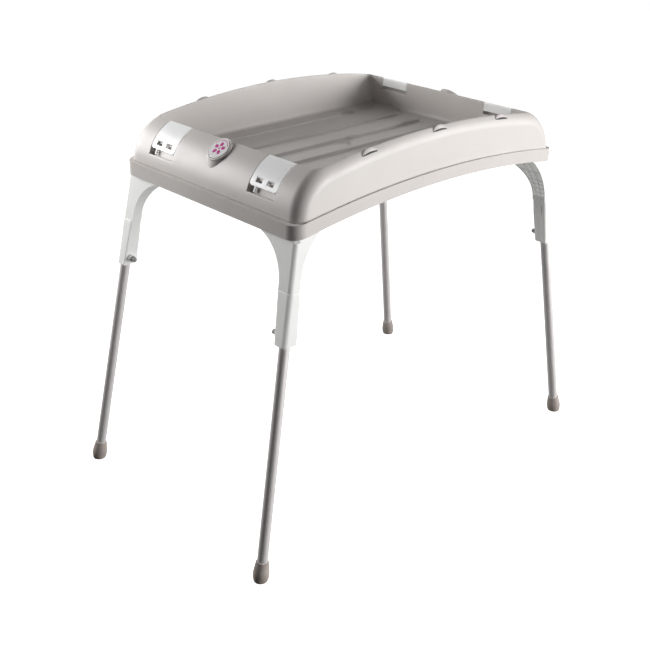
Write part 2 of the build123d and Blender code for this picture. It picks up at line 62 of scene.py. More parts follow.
# ------------------------------------------------------------------ sizes of the moulded forms
WALL = 3.0
PARTING = (725.0, 30.7)                           # height at the ends, rise to mid-length
BOLSTER_R = 96.0
BOLSTER_X = TUB_FOOT_X - BOLSTER_R
BOLSTER_Z = 724.6
BOLSTER_TOP = math.radians(70.2)
RIM_MIDDLE_Z = 846.0
SIDE_FOOT_Y, SIDE_HEAD_Y = 272.5, 267.5
EDGE_R = 28.0
FLOOR_Z = 745.0
BASIN_FLOOR = (323.0, 240.0)
BASIN_RIM = (329.25, 256.5)
BASIN_RIM_Z = 870.0
BASIN_CORNER_R = 18.0
FLOOR_EDGE_R = 9.0
RIM_EDGE_R = 2.6
RECESS_HALF_WIDTH = 39.8
RECESS_DEPTH = 9.0
RECESS_BEVEL = 0.7
RECESS_LOW = math.radians(16.6)
HINGE_POCKET_R = 18.0
STRAIGHT_Y, STRAIGHT_X = 212.0, 300.0             # how far the straight stations reach along end and side
CORNER_STEPS = (6, 14, 12)                        # end straight, arc, side straight of each corner

GROOVES = ((33.0, 10.0), (105.0, 10.0))           # distance from the centre line, half width
GROOVE_DEPTH = 4.2
GROOVE_SLOPE = (-4.0, 0.8)                        # where its side begins and ends, from the half width
GROOVE_END_X, GROOVE_RUN_OUT = 292.0, 8
EDGE_BEAD = (0.9, 2.6, 1.9)                       # beside a groove: height, distance from it, spread
BEAD = (191.0, -296.0, 176.0)                     # distance from the centre line, start, end
BEAD_HEIGHT, BEAD_SPREAD, BEAD_RUN_OUT = 2.4, 2.6, 6
CUPS = ((203.0, 204.0), (268.0, 206.0), (12.0, 14.0))
CUP_R, CUP_DEPTH = 20.0, 6.0
CUP_SLOPE = (-4.0, 1.0)                           # where its side begins and ends, from the radius
PAD = ((40.0, 262.0), 44.0, 15.0)                 # raised pad: start and end, middle line, half width
PAD_HEIGHT, PAD_DRIFT = 2.6, 8                    # the drift is sideways, from its start to its end
PAD_SLOPE = (-3.5, 1.5)

END_NAMES = {-1: "left", 1: "right"}
SIDE_NAMES = {-1: "front", 1: "back"}
BADGE_SLOPE = math.radians(51.3)
BADGE_POINTS = 96
SEAT_R, SEAT_LIP_R, SEAT_GROOVE_R = 28.3, 1.6, 24.5
SEAT_FOOT_MIDDLE, SEAT_FOOT_HALF = (352.0, 752.0), (30.0, 36.0)
SEAT_SINK, SEAT_SUNK_R = 2.6, 12.0                # the face lies in a shallow well
SEAT_BURIED = 2.0                                 # how deep the seat's foot stands in the bolster
PETALS, PETAL_MIDDLE, PETAL_LONG, PETAL_WIDE, PETAL_HEIGHT = 5, 10.2, 6.4, 5.0, 0.5
HEART_R, HEART_HEIGHT = 2.8, 0.6
EMBLEM_LIFT = 1.0                                 # from the middle of the badge to its face
ARC_RADII, ARC_HEIGHTS = (21.0, 19.6), (-0.1, 0.3)
ARC_TURNS = (math.radians(205), math.radians(335))
HOOD_XS = (-198, 4, 206)
HOOD_Y = (253.5, 262.5)                           # its closed back and its mouth
HOOD_HALF, HOOD_HEIGHT, HOOD_WALL = 22.0, 6.8, 0.9
HOOD_BACK_SHARE = 0.55                            # width at the back, as a share of the mouth's
HOOD_DROOP = 0.12                                 # how much lower the mouth is than the crown, as a share
HOOD_ROUND = 0.75                                 # how full its arch is
HOOD_SUNK = 0.3                                   # how deep its edges stand in the rim
SLOT_Y = (0.35, 1.8)                              # front and back of the near-black block of painted shade in the slot, behind the mouth
SLOT_HALF_SHARE, SLOT_POINTS = 0.93, 25
LATCH_WIDTH, LATCH_WALL = 77.0, 3.0
LATCH_LEG_Z = 794.0
PLATE_LOW, PLATE_HIGH = 26.0, (68.4, 65.5)        # in degrees; upper ends of its outer and inner face
PLATE_POINTS = (200, 190)
# from the rim, for the outer and inner face: middle and end of the turn over it, then X of the leg's foot
LATCH_TURN = ((0.0, 0.0), (-2.9, -3.4)), ((0.2, -3.0), (-2.8, -8.0)), (1.2, -1.8)
WINDOW_ANGLE = 34.0
WINDOW_OFFSET, WINDOW_SIZE = 16.0, (19.5, 10.5)
LIP_CORNER_R, LIP_EXTRA, LIP_REACH = 7.0, 1.3, 2.4     # the lip is thicker by this much, fading over its reach
LIP_RIBS = (-33.5, -22.0, -9.0, 3.0, 13.0, 33.5)
LIP_RIB_HALF, LIP_RIB_ANGLES = 0.8, (0.6, 4.4)    # degrees above the plate's lower edge
RIB_SPAN = (-4.0, 0.3)                            # from the plate's underside
TONGUE_ANGLES, TONGUE_YS = (19, 32), (21.7, 24.3)
KNUCKLE_R, PIN_HOLE_R = 6.0, 2.06
CHEEK_Y, CHEEK_HALF = 30, 3
CATCH_HALF, CATCH_TOP, CATCH_ANGLE = 6.75, 4.2, 3
LEG_SPLAY, LEG_DROP = (0.18, 0.063), -0.98        # direction of the leg tubes
SLEEVE_SPAN = (492.2, 597.0)
# lines of a bracket's outer and inner faces: two (z, x), then two (z, y)
SLEEVE_OUTER = (((492.0, 431.5), (696.0, 393.0)), ((492.0, 282.5), (696.0, 270.0)))
SLEEVE_INNER = (((492.0, 399.5), (600.0, 386.0)), ((492.0, 253.5), (600.0, 241.0)))
SLEEVE_MARGIN, SLEEVE_PROUD, SLEEVE_DEPTH, SLEEVE_CORNER_R = 2.0, 0.9, 1.5, 9.0
SLEEVE_ROWS, SLEEVE_ROLL = 14, 1.4                # even rows up to where its top edge rolls in
SLEEVE_TOP = ((0.7, 0.72), (0.2, 0.315), (0.0, -0.3))       # (below its top, proud)

RIM_X = BOLSTER_X + BOLSTER_R * math.cos(BOLSTER_TOP)
RIM_Z = BOLSTER_Z + BOLSTER_R * math.sin(BOLSTER_TOP)
# the side rims follow a circle that runs on smoothly from the bolsters' rounds
RIM_CREST = RIM_MIDDLE_Z - BOLSTER_Z
RIM_ARCH_R = (BOLSTER_X ** 2 + RIM_CREST ** 2 - BOLSTER_R ** 2) / (2 * (RIM_CREST - BOLSTER_R))
TANGENT = math.atan2(RIM_ARCH_R - RIM_CREST, BOLSTER_X)


# ------------------------------------------------------------------ numbers and lines
def smoothstep(low, high, x):
    t = np.clip((x - low) / (high - low), 0, 1)
    return t * t * (3 - 2 * t)


def arch(x, sizes):
    """Height at x of the circular arch that is sizes[0] high at the band's ends and rises by sizes[1]."""
    ends, rise = sizes
    radius = (BAND_HALF[0] ** 2 + rise ** 2) / (2 * rise)
    return ends + rise - radius + np.sqrt(radius ** 2 - np.asarray(x) ** 2)


def bisect(function, low, high):
    """Where a function that grows from negative to positive passes zero, for whole arrays."""
    for _ in range(36):
        middle = (low + high) / 2
        positive = function(middle) > 0
        low, high = np.where(positive, low, middle), np.where(positive, middle, high)
    return (low + high) / 2


def bezier(start, control, end, shares):
    """Points on a quadratic curve, or rows of points on one curve for each station."""
    return [(1 - t) ** 2 * start + 2 * t * (1 - t) * control + t ** 2 * end for t in shares]


def along_path(path, distances):
    """Points of a polyline at these distances from its start."""
    steps = np.linalg.norm(np.diff(path, axis=0), axis=1)
    reached = np.concatenate([[0], np.cumsum(steps)])
    return np.stack([np.interp(distances, reached, path[:, k]) for k in range(3)], axis=1)


# ------------------------------------------------------------------ loops round the tray
def positive_stations(last, spacing, extra=()):
    """Distances from 0 to last at about this spacing, with the extra ones hit exactly."""
    marks = sorted([0.0, last, *extra])
    stations = [0.0]
    for low, high in zip(marks, marks[1:]):
        count = max(1, round((high - low) / spacing))
        stations += [low + (high - low) * k / count for k in range(1, count + 1)]
    return stations


END_YS = positive_stations(STRAIGHT_Y, 1.8, (LATCH_Y - RECESS_HALF_WIDTH, LATCH_Y + RECESS_HALF_WIDTH))
SIDE_XS = positive_stations(STRAIGHT_X, 4.0)
CORNER_INDEX = len(END_YS) - 1 + CORNER_STEPS[0] + CORNER_STEPS[1] // 2
QUARTER = len(END_YS) + sum(CORNER_STEPS) + len(SIDE_XS) - 2
STATIONS = 4 * QUARTER


def rounded_loop(half, radius):
    """Stations round a rounded rectangle, anticlockwise from the middle of the right end."""
    half_x, half_y = half
    ends, arc, sides = CORNER_STEPS
    quarter = [(half_x, y) for y in END_YS]
    quarter += [(half_x, STRAIGHT_Y + (half_y - radius - STRAIGHT_Y) * k / ends) for k in range(1, ends + 1)]
    for k in range(1, arc + 1):
        turn = math.pi / 2 * k / arc
        quarter.append((half_x - radius + radius * math.cos(turn), half_y - radius + radius * math.sin(turn)))
    arc_end = half_x - radius
    quarter += [(arc_end + (STRAIGHT_X - arc_end) * k / sides, half_y) for k in range(1, sides + 1)]
    quarter += [(x, half_y) for x in reversed(SIDE_XS[:-1])]
    first = np.array(quarter)
    second = (first * (-1, 1))[::-1]
    half_loop = np.concatenate([first[:-1], second[:-1]])
    return np.concatenate([half_loop, -half_loop])


# ------------------------------------------------------------------ the tub's outer form
def outside(x, y, z):
    """How far a point is outside the tub's outer form; negative inside."""
    x, y = np.abs(x), np.abs(y)
    over_arch = np.hypot(x, z - (RIM_MIDDLE_Z - RIM_ARCH_R)) - RIM_ARCH_R
    dx, dz = x - BOLSTER_X, z - BOLSTER_Z
    over_round = np.where(dz > 0, np.hypot(dx, dz), dx) - BOLSTER_R
    along = np.where(np.arctan2(dz, dx) > TANGENT, over_arch, over_round)
    across = y - SIDE_HEAD_Y - (SIDE_FOOT_Y - SIDE_HEAD_Y) * (RIM_Z - z) / (RIM_Z - PARTING[0])
    a, b = along + EDGE_R, across + EDGE_R
    return np.minimum(np.maximum(a, b), 0) + np.hypot(np.maximum(a, 0), np.maximum(b, 0)) - EDGE_R


def basin_outline(z):
    """Stations of the basin's wall at height z, one height or one for each station."""
    share = np.reshape((np.asarray(z) - FLOOR_Z) / (BASIN_RIM_Z - FLOOR_Z), (-1, 1))
    low, high = rounded_loop(BASIN_FLOOR, BASIN_CORNER_R), rounded_loop(BASIN_RIM, BASIN_CORNER_R)
    return low + (high - low) * share


def with_z(xy, z):
    return np.column_stack([xy, np.broadcast_to(z, len(xy))])


# rows of the tub's surface, from the foot up over the rim, down the wall and onto the floor
OUTER_LENGTH = BOLSTER_R * BOLSTER_TOP
RECESS_SHARE = BOLSTER_R * RECESS_LOW / (OUTER_LENGTH - RIM_EDGE_R)
OUTER_SHARES = np.concatenate([np.linspace(0, RECESS_SHARE, 10), np.linspace(RECESS_SHARE, 1, 32)[1:]])
LEDGE_Z = PIN_Z - HINGE_POCKET_R
WALL_SHARE = (RIM_Z - RIM_EDGE_R - LEDGE_Z) / (RIM_Z - RIM_EDGE_R - FLOOR_Z - FLOOR_EDGE_R)
WALL_SHARES = np.concatenate([np.linspace(0, WALL_SHARE, 8)[1:], np.linspace(WALL_SHARE, 1, 9)[1:]])
RECESS_ROWS = (9, len(OUTER_SHARES) + 4 + 6)      # first and last row of the latch recesses


def tub_rows():
    """All rows, each with one point for every station."""
    rim_z = bisect(lambda z: outside(*basin_outline(z).T, z), np.full(STATIONS, FLOOR_Z),
                   np.full(STATIONS, BASIN_RIM_Z))
    rim = with_z(basin_outline(rim_z), rim_z)
    foot = rounded_loop((TUB_FOOT_X, SIDE_FOOT_Y), EDGE_R)
    foot_z = arch(foot[:, 0], PARTING)
    outward = foot - rim[:, :2]
    outward /= np.linalg.norm(outward, axis=1)[:, None]
    fan = np.linspace(0, math.pi / 2, 161)
    aim = np.stack([outward[:, :1] * np.cos(fan), outward[:, 1:] * np.cos(fan),
                    np.broadcast_to(np.sin(fan), (STATIONS, len(fan)))])
    centre = np.stack([rim[:, 0], rim[:, 1], foot_z])[:, :, None]
    reach = bisect(lambda t: outside(*(centre + aim * t)), np.zeros(aim.shape[1:]), np.full(aim.shape[1:], 220.0))
    paths = np.moveaxis(centre + aim * reach, 0, 2)
    outer = []
    for path in paths:
        length = np.linalg.norm(np.diff(path, axis=0), axis=1).sum()
        outer.append(along_path(path, OUTER_SHARES * (length - RIM_EDGE_R)))
    rows = list(np.moveaxis(np.array(outer), 1, 0))
    wall_top_z = rim_z - RIM_EDGE_R
    wall_top = with_z(basin_outline(wall_top_z), wall_top_z)
    rows += bezier(rows[-1], rim, wall_top, (0.25, 0.5, 0.75, 1))
    for share in WALL_SHARES:
        z = wall_top_z + (FLOOR_Z + FLOOR_EDGE_R - wall_top_z) * share
        rows.append(with_z(basin_outline(z), z))
    floor_edge = rounded_loop(np.array(BASIN_FLOOR) - FLOOR_EDGE_R, BASIN_CORNER_R - FLOOR_EDGE_R)
    corner = with_z(basin_outline(FLOOR_Z), FLOOR_Z)
    return rows + bezier(rows[-1], corner, with_z(floor_edge, FLOOR_Z), (0.2, 0.4, 0.6, 0.8, 1))


def floor_grid(edge):
    """Points of the floor between its four edges, from the closed loop of its stations."""
    turns = [STATIONS - CORNER_INDEX, CORNER_INDEX, STATIONS // 2 - CORNER_INDEX, STATIONS // 2 + CORNER_INDEX]

    def run(start, end):
        return [k % STATIONS for k in range(start, end + 1)]
    east = run(turns[0], turns[1] + STATIONS)
    north = run(turns[1], turns[2])
    west = run(turns[2], turns[3])[::-1]
    south = run(turns[3], turns[0])[::-1]
    u = np.linspace(0, 1, len(north))[:, None, None]
    v = np.linspace(0, 1, len(east))[None, :, None]
    e, w, n, s = edge[east][None], edge[west][None], edge[north][:, None], edge[south][:, None]
    grid = (1 - u) * e + u * w + (1 - v) * s + v * n
    grid -= ((1 - u) * (1 - v) * e[:, :1] + u * (1 - v) * w[:, :1] + (1 - u) * v * e[:, -1:] + u * v * w[:, -1:])
    names = {}
    for index in range(len(north)):
        names[index, 0], names[index, len(east) - 1] = south[index], north[index]
    for index in range(len(east)):
        names[0, index], names[len(north) - 1, index] = east[index], west[index]
    return grid, names


def floor_height(x, y):
    """Height of the moulded pattern above the basin's floor."""
    ends = 1 - smoothstep(GROOVE_END_X - GROOVE_RUN_OUT, GROOVE_END_X, np.abs(x))
    bead_height, bead_gap, bead_spread = EDGE_BEAD
    height = np.zeros_like(x)
    for middle, half in GROOVES:
        off = np.abs(np.abs(y) - middle)
        height -= GROOVE_DEPTH * (1 - smoothstep(half + GROOVE_SLOPE[0], half + GROOVE_SLOPE[1], off)) * ends
        height += bead_height * np.exp(-((off - half - bead_gap) / bead_spread) ** 2) * ends
    middle, start, end = BEAD
    run = smoothstep(start, start + BEAD_RUN_OUT, x) * (1 - smoothstep(end - BEAD_RUN_OUT, end, x))
    height += BEAD_HEIGHT * np.exp(-((np.abs(y) - middle) / BEAD_SPREAD) ** 2) * run
    (pad_start, pad_end), pad_y, pad_half = PAD
    pad_share = np.clip((x - pad_start) / (pad_end - pad_start), 0, 1)
    half = pad_half * np.sin(math.pi * pad_share) ** 0.5
    inside_pad = 1 - smoothstep(*PAD_SLOPE, np.abs(y - pad_y - PAD_DRIFT * pad_share) - half)
    inside_pad *= (x > pad_start) & (x < pad_end)
    height = height * (1 - inside_pad) + PAD_HEIGHT * inside_pad
    for cup_x, cup_y in CUPS:
        inside_cup = 1 - smoothstep(CUP_R + CUP_SLOPE[0], CUP_R + CUP_SLOPE[1], np.hypot(x - cup_x, y - cup_y))
        height = height * (1 - inside_cup) - CUP_DEPTH * inside_cup
    return height


# ------------------------------------------------------------------ latch recesses
def on_round(radius, angle):
    return -BOLSTER_X - radius * math.cos(angle), BOLSTER_Z + radius * math.sin(angle)


def recess_floor(rows):
    """Points in XZ of the recess's floor at the left end, one for each row that it spans."""
    inner_r = BOLSTER_R - RECESS_DEPTH
    meets = RECESS_LOW
    while math.dist(on_round(inner_r, meets), (-PIN_X, PIN_Z)) > HINGE_POCKET_R:
        meets += 0.005
    x, z = on_round(inner_r, meets)
    turn = math.atan2(z - PIN_Z, x + PIN_X) % (2 * math.pi)
    profile = [on_round(inner_r, a) for a in np.linspace(RECESS_LOW, meets, 40)]
    profile += [(-PIN_X + HINGE_POCKET_R * math.cos(a), PIN_Z + HINGE_POCKET_R * math.sin(a))
                for a in np.linspace(turn, 1.5 * math.pi, 30)]
    ledge_share = (LEDGE_Z - FLOOR_Z) / (BASIN_RIM_Z - FLOOR_Z)
    profile.append((-BASIN_FLOOR[0] - (BASIN_RIM[0] - BASIN_FLOOR[0]) * ledge_share, LEDGE_Z))
    path = np.array([(x, 0, z) for x, z in profile])
    length = np.linalg.norm(np.diff(path, axis=0), axis=1).sum()
    return along_path(path, np.linspace(0, length, rows))


# ------------------------------------------------------------------ materials
class Graph:
    """A node material under construction: adds nodes and joins them."""

    def __init__(self, name, **sockets):
        self.material = bpy.data.materials.new(name)
        self.material.use_nodes = True
        self.tree = self.material.node_tree
        self.shader = self.tree.nodes["Principled BSDF"]
        self.place = self.add("ShaderNodeTexCoord").outputs["Object"]
        self.set(**sockets)

    def set(self, **sockets):
        """Plain values for the shader's sockets, named with _ for a space."""
        for socket, value in sockets.items():
            self.shader.inputs[socket.replace("_", " ")].default_value = value

    def add(self, kind, inputs=(), **settings):
        node = self.tree.nodes.new(kind)
        for setting, value in settings.items():
            setattr(node, setting, value)
        for socket, value in dict(inputs).items():
            if isinstance(value, bpy.types.NodeSocket):
                self.tree.links.new(value, node.inputs[socket])
            else:
                node.inputs[socket].default_value = value
        return node

    def noise(self, scale, detail=2.0, place=None):
        node = self.add("ShaderNodeTexNoise", {"Vector": place or self.place, "Scale": scale, "Detail": detail})
        return node.outputs["Fac"]

    def spread(self, value, low, high, from_low=0.3, from_high=0.7):
        node = self.add("ShaderNodeMapRange", {"Value": value, "From Min": from_low, "From Max": from_high,
                                               "To Min": low, "To Max": high})
        return node.outputs["Result"]

    def mixed(self, share, low, high):
        node = self.add("ShaderNodeMix", {0: share, 6: low, 7: high}, data_type="RGBA")
        return node.outputs[2]

    def bump(self, height, distance, strength=1.0, under=None):
        inputs = {"Height": height, "Distance": distance, "Strength": strength}
        if under is not None:
            inputs["Normal"] = under
        return self.add("ShaderNodeBump", inputs).outputs["Normal"]

    def join(self, socket, value):
        self.tree.links.new(value, self.shader.inputs[socket])


def tone(colour, factor=1.0):
    return (*[min(c * factor, 1.0) for c in colour], 1.0)


def moulded_plastic(name, colour, roughness, grain, depth, mottle=0.035, soak_and_painted_glow=0.0):
    """Moulded plastic: spark-eroded grain, slight flow mottling, a gloss that varies with handling, and for pale
    parts subsurface light plus a faint even emission glow, which is painted light.
    """
    graph = Graph(name, IOR=1.47)
    if soak_and_painted_glow:                                        # light that spreads inside a pale, thin moulding (subsurface), plus an even emission glow: painted light
        graph.set(Subsurface_Weight=0.4, Subsurface_Radius=(1.0, 1.0, 1.0), Subsurface_Scale=0.006,
                  Emission_Color=(1.0, 1.0, 0.98, 1.0), Emission_Strength=soak_and_painted_glow)
    cloud = graph.noise(7.0, 4.0)
    speckle = graph.noise(620.0, 1.0)
    base = graph.mixed(graph.spread(cloud, 0, 1), tone(colour, 1 - mottle), tone(colour, 1 + mottle))
    flecked = graph.mixed(graph.spread(speckle, 0, 0.35, 0.5, 0.75), base, tone(colour, 0.9))
    graph.join("Base Color", flecked)
    rubbed = graph.noise(26.0, 5.0)
    graph.join("Roughness", graph.spread(rubbed, roughness - 0.05, roughness + 0.06))
    grain_height = graph.noise(1.0 / grain, 2.0)
    waves = graph.noise(14.0, 1.0)
    soft = graph.bump(waves, 0.0012, 0.12)
    graph.join("Normal", graph.bump(grain_height, depth, 0.45, soft))
    return graph.material


def drawn_aluminium(name, axis):
    """Satin anodised tube: fine draw lines along the axis and faint cloudy sheen."""
    graph = Graph(name, Metallic=0.35, IOR=1.45)
    turn = Vector(axis).rotation_difference(Vector((0, 0, 1))).to_euler()
    along = graph.add("ShaderNodeMapping", {"Vector": graph.place, "Rotation": turn, "Scale": (1, 1, 0.012)})
    lines = graph.noise(900.0, 3.0, along.outputs["Vector"])
    cloud = graph.noise(18.0, 3.0)
    bright = graph.mixed(graph.spread(lines, 0, 1), tone(ALUMINIUM, 0.93), tone(ALUMINIUM, 1.05))
    graph.join("Base Color", graph.mixed(graph.spread(cloud, 0, 0.5), bright, tone(ALUMINIUM, 0.9)))
    graph.join("Roughness", graph.spread(lines, 0.38, 0.5))
    graph.join("Normal", graph.bump(lines, 0.00003, 0.3))
    return graph.material


def soft_rubber(name, colour):
    """Matt moulded rubber with a dusty bloom."""
    graph = Graph(name, IOR=1.5)
    bloom = graph.noise(60.0, 5.0)
    graph.join("Base Color", graph.mixed(graph.spread(bloom, 0, 1), tone(colour, 0.88), tone(colour, 1.14)))
    graph.join("Roughness", graph.spread(bloom, 0.62, 0.8))
    graph.join("Normal", graph.bump(graph.noise(2200.0, 2.0), 0.00012, 0.5))
    return graph.material


def bright_steel(name, colour, roughness):
    """Plated or drawn steel with fine wear."""
    graph = Graph(name, Metallic=1.0)
    wear = graph.noise(400.0, 4.0)
    graph.join("Base Color", graph.mixed(graph.spread(wear, 0, 1), tone(colour, 0.9), tone(colour, 1.08)))
    graph.join("Roughness", graph.spread(wear, roughness - 0.06, roughness + 0.08))
    graph.join("Normal", graph.bump(wear, 0.00003, 0.4))
    return graph.material


def printed_label(name, colour):
    """Glossy print or enamel with a trace of orange peel."""
    graph = Graph(name, Coat_Weight=0.6, Coat_Roughness=0.08)
    peel = graph.noise(240.0, 2.0)
    cloud = graph.spread(graph.noise(90.0), 0, 1)
    graph.join("Base Color", graph.mixed(cloud, tone(colour, 0.96), tone(colour, 1.03)))
    graph.join("Roughness", graph.spread(peel, 0.22, 0.34))
    graph.join("Normal", graph.bump(peel, 0.00006, 0.35))
    return graph.material


ALUMINIUM = (0.84, 0.81, 0.80)
TRAY = moulded_plastic("tray plastic", (0.62, 0.585, 0.56), 0.42, 0.0008, 0.00016)
SKIRT = moulded_plastic("skirt plastic", (0.60, 0.565, 0.54), 0.45, 0.0008, 0.00016)
# the white brackets, sleeves and latches glow faintly by emission (last argument): painted light
WHITE = moulded_plastic("white plastic", (0.72, 0.72, 0.705), 0.36, 0.0010, 0.00010, 0.02, 0.13)
LATCH_WHITE = moulded_plastic("latch plastic", (0.86, 0.865, 0.865), 0.3, 0.0012, 0.00006, 0.015, 0.08)
KNOB = moulded_plastic("knob plastic", (0.30, 0.295, 0.285), 0.4, 0.0009, 0.0001)
# near-black plastic for the blocks in the hoods' mouths, set there in place of the shade: painted shade
SLOT_SHADE = moulded_plastic("painted shade inside a slot", (0.025, 0.021, 0.02), 0.6, 0.0009, 0.0001)
RUBBER = soft_rubber("foot rubber", (0.38, 0.33, 0.30))
SCREW_STEEL = bright_steel("zinc plated steel", (0.62, 0.62, 0.63), 0.32)
SPRING_STEEL = bright_steel("spring steel", (0.5, 0.5, 0.52), 0.26)
LABEL = printed_label("badge white", (0.86, 0.84, 0.85))
INK = printed_label("badge magenta", (0.55, 0.03, 0.27))


# ------------------------------------------------------------------ making meshes
def new_piece(name, mesh, body, material, sharp=38.0):
    """A smooth-shaded object from a bmesh in metres, riding on its body."""
    bmesh.ops.recalc_face_normals(mesh, faces=mesh.faces[:])
    data = bpy.data.meshes.new(name)
    mesh.to_mesh(data)
    mesh.free()
    data.polygons.foreach_set("use_smooth", [True] * len(data.polygons))
    data.set_sharp_from_angle(angle=math.radians(sharp))
    data.materials.append(material)
    piece = bpy.data.objects.new(name, data)
    bpy.context.scene.collection.objects.link(piece)
    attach(piece, body)
    return piece


def soften(piece, width, segments=2, angle=40.0):
    edges = piece.modifiers.new("edges", "BEVEL")
    edges.width, edges.segments = width * MM, segments
    edges.limit_method, edges.angle_limit = "ANGLE", math.radians(angle)
    edges.harden_normals = False


def add_grid(mesh, points, closed=False):
    """Quads between rows of points in millimetres; closed joins each row's ends. Returns the vertices."""
    spots = [[mesh.verts.new(np.asarray(p) * MM) for p in row] for row in points]
    for low, high in zip(spots, spots[1:]):
        count = len(low)
        for k in range(count if closed else count - 1):
            mesh.faces.new([low[k], low[(k + 1) % count], high[(k + 1) % count], high[k]])
    return spots


def close_layers(mesh, layer, below):
    """Joins the open edges of two matching grids."""
    partner = {a: b for rows in zip(layer, below) for a, b in zip(*rows)}
    open_edges = [edge for edge in mesh.edges if len(edge.link_faces) == 1 and edge.verts[0] in partner]
    for edge in open_edges:
        a, b = edge.verts
        mesh.faces.new([a, b, partner[b], partner[a]])


# ------------------------------------------------------------------ tray tub
RECESS_LOW_STATION = END_YS.index(LATCH_Y - RECESS_HALF_WIDTH)
RECESS_HIGH_STATION = END_YS.index(LATCH_Y + RECESS_HALF_WIDTH)
RECESSES = {                                      # end, side: first and last station
    (1, 1): (RECESS_LOW_STATION, RECESS_HIGH_STATION),
    (-1, 1): (STATIONS // 2 - RECESS_HIGH_STATION, STATIONS // 2 - RECESS_LOW_STATION),
    (-1, -1): (STATIONS // 2 + RECESS_LOW_STATION, STATIONS // 2 + RECESS_HIGH_STATION),
    (1, -1): (STATIONS - RECESS_HIGH_STATION, STATIONS - RECESS_LOW_STATION),
}


def line_recess(mesh, spots, end, first_station, last_station):
    """Floor, step and side walls of one latch recess. Returns the edges of its mouth."""
    first, last = RECESS_ROWS
    stations = range(first_station, last_station + 1)
    floor = recess_floor(last - first + 1)
    lining = []
    for row, (x, _, z) in enumerate(floor[:-1]):
        lining.append([mesh.verts.new(Vector((-end * x * MM, spots[first][s].co.y, z * MM))) for s in stations])
    lining.append([spots[last][s] for s in stations])
    for low, high in zip(lining, lining[1:]):
        for k in range(len(low) - 1):
            mesh.faces.new([low[k], low[k + 1], high[k + 1], high[k]])
    for k, s in enumerate(list(stations)[:-1]):
        mesh.faces.new([spots[first][s], spots[first][s + 1], lining[0][k + 1], lining[0][k]])
    for side, s in ((0, first_station), (-1, last_station)):
        for row in range(last - first):
            corners = [spots[first + row][s], spots[first + row + 1][s], lining[row + 1][side], lining[row][side]]
            mesh.faces.new(list(dict.fromkeys(corners)))
    mouth = [(spots[row][s], spots[row][s + 1]) for row in (first, last) for s in stations[:-1]]
    mouth += [(spots[row][s], spots[row + 1][s]) for row in range(first, last)
              for s in (first_station, last_station)]
    return [mesh.edges.get(pair) for pair in mouth]


def make_tub():
    rows = tub_rows()
    mesh = bmesh.new()
    spots = [[mesh.verts.new(point * MM) for point in row] for row in rows]
    first, last = RECESS_ROWS
    open_stations = {s for low, high in RECESSES.values() for s in range(low, high)}
    for row in range(len(rows) - 1):
        for s in range(STATIONS):
            if first <= row < last and s in open_stations:
                continue
            t = (s + 1) % STATIONS
            mesh.faces.new([spots[row][s], spots[row][t], spots[row + 1][t], spots[row + 1][s]])
    grid, edge_stations = floor_grid(rows[-1])
    grid[:, :, 2] += floor_height(grid[:, :, 0], grid[:, :, 1])
    floor = {key: spots[-1][s] for key, s in edge_stations.items()}
    count_u, count_v = grid.shape[:2]
    for i in range(1, count_u - 1):
        for j in range(1, count_v - 1):
            floor[i, j] = mesh.verts.new(grid[i, j] * MM)
    for i in range(count_u - 1):
        for j in range(count_v - 1):
            mesh.faces.new([floor[i, j], floor[i + 1, j], floor[i + 1, j + 1], floor[i, j + 1]])
    mouths = []
    for (end, _), (low, high) in RECESSES.items():
        mouths += line_recess(mesh, spots, end, low, high)
    # the bevel keeps the faces' sides consistent only if they already are, and the shell's side depends on them
    bmesh.ops.recalc_face_normals(mesh, faces=mesh.faces[:])
    bmesh.ops.bevel(mesh, geom=mouths, offset=RECESS_BEVEL * MM, segments=2, profile=0.5, affect="EDGES",
                    clamp_overlap=True)
    tub = new_piece("tub_shell", mesh, "table", TRAY)
    shell = tub.modifiers.new("shell", "SOLIDIFY")
    shell.thickness, shell.offset = WALL * MM, -1.0
    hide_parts("tray_tub")


# ------------------------------------------------------------------ badge seats
def circle(centre, across, down, radius, lift=(0, 0, 0)):
    """Points of a circle whose plane is spanned by two directions."""
    turns = np.linspace(0, 2 * math.pi, BADGE_POINTS, endpoint=False)[:, None]
    return np.array(centre) + np.array(lift) + radius * (np.cos(turns) * across + np.sin(turns) * down)


def badge_frame(end):
    """Middle, sideways, downhill and outward directions of one badge."""
    centre = sum(box_mm("badge_left" if end < 0 else "badge_right")) / 2
    across = np.array([0, -end, 0.0])
    down = np.array([end * math.sin(BADGE_SLOPE), 0, -math.cos(BADGE_SLOPE)])
    outward = np.array([end * math.cos(BADGE_SLOPE), 0, math.sin(BADGE_SLOPE)])
    return centre, across, down, outward


